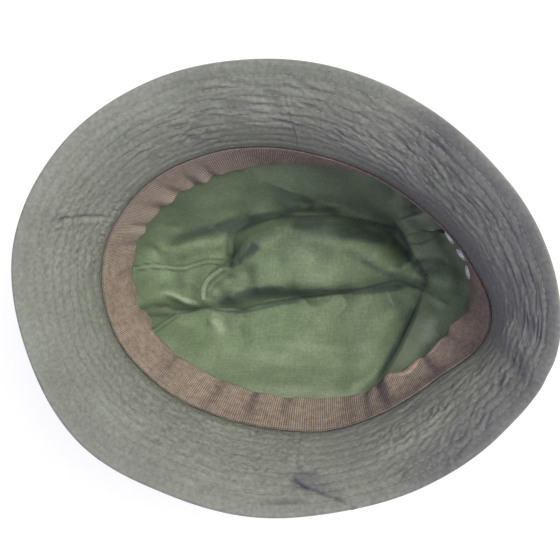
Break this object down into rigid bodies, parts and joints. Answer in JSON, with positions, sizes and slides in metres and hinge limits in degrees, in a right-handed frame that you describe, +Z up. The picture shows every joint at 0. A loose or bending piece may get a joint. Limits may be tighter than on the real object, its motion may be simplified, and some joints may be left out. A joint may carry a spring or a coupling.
{
  "type": "fishing hat",
  "caption": "Soft stitched-brim cloth hat lying upside down on its slumped crown, with a cotton lining, a ribbon sweatband and metal vent eyelets.",
  "frame": {"origin": "under the middle of the hat's box, on the surface that the upturned crown rests on", "axes": "+Z up, out of the head opening; +X along the length of the brim's oval; +Y across it"},
  "size_m": [0.2789, 0.2329, 0.1104],
  "materials": {
    "shell_cloth": "close proofed cotton with a dull sheen, grey olive",
    "lining_cloth": "plain woven green cotton, matt",
    "ribbon": "brown cross-ribbed ribbon, matt",
    "eyelet_metal": "pressed bright metal, lightly worn"
  },
  "bodies": {
    "root": {"crown_side": "shell_cloth", "crown_tip": "shell_cloth", "brim": "shell_cloth", "lining_side": "lining_cloth", "lining_tip": "lining_cloth", "sweatband": "ribbon", "eyelet_1": "eyelet_metal", "eyelet_2": "eyelet_metal", "eyelet_3": "eyelet_metal"}
  },
  "joints": []
}
